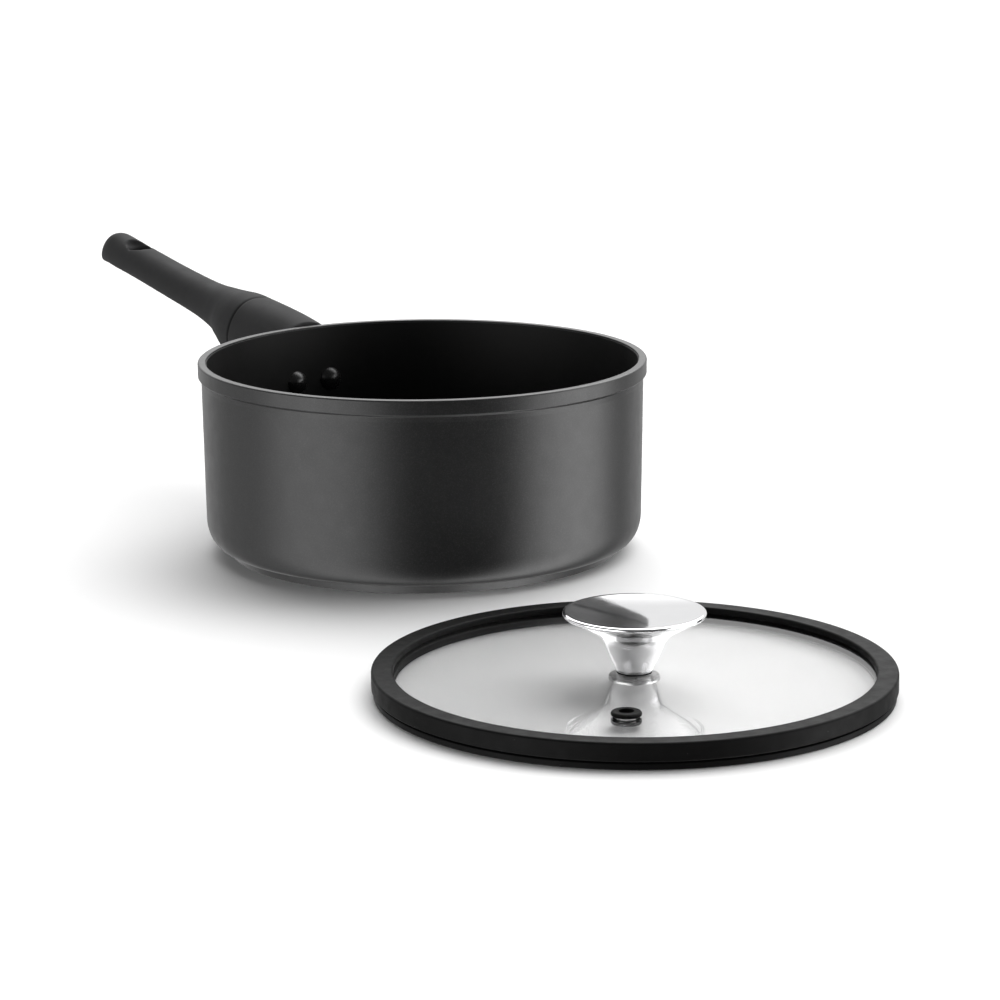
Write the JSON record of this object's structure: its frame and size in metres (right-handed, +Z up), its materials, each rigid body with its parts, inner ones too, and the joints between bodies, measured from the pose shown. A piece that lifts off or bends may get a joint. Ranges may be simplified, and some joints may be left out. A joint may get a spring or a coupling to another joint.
{
  "type": "saucepan with glass lid",
  "caption": "Straight-sided dark saucepan with a riveted soft-touch handle, and a flat glass lid with a silicone rim and a flared chrome knob lying beside it.",
  "frame": {"origin": "centre of the pan's foot ring, on the surface that the pan stands on", "axes": "+Z up along the pan's axis, +X along the handle; the lid lies on the same surface towards -X"},
  "size_m": [0.6001, 0.2451, 0.1008],
  "materials": {
    "pan_metal": "dark grey metallic coating, fine sparkle, satin",
    "nonstick": "black nonstick lining, satin",
    "base_steel": "fine turned steel",
    "rivet_black": "black coated, satin",
    "bracket_steel": "plain stamped",
    "grip_soft_touch": "dark grey soft touch, matt",
    "fastener_steel": "plain",
    "tempered_glass": "clear, polished",
    "silicone_black": "black silicone, matt",
    "silicone_clear": "translucent silicone, satin",
    "knob_chrome": "mirror chrome"
  },
  "bodies": {
    "pan": {"pan_body": "pan_metal", "nonstick_lining": "nonstick", "base_disc": "base_steel", "rivet_left": "rivet_black", "rivet_right": "rivet_black", "handle_bracket": "bracket_steel", "handle_grip": "grip_soft_touch", "handle_screw": "fastener_steel", "handle_lock_washer": "fastener_steel"},
    "lid": {"lid_glass": "tempered_glass", "lid_seal": "silicone_black", "vent_grommet": "silicone_black", "knob": "knob_chrome", "knob_gasket": "silicone_black", "knob_bush": "silicone_clear", "knob_washer": "fastener_steel", "knob_screw": "fastener_steel"}
  },
  "joints": [
    {"name": "lid_lift", "type": "slide", "parent": "pan", "child": "lid", "axis": [0, 0, 1], "range_m": [0, 0.12]}
  ]
}
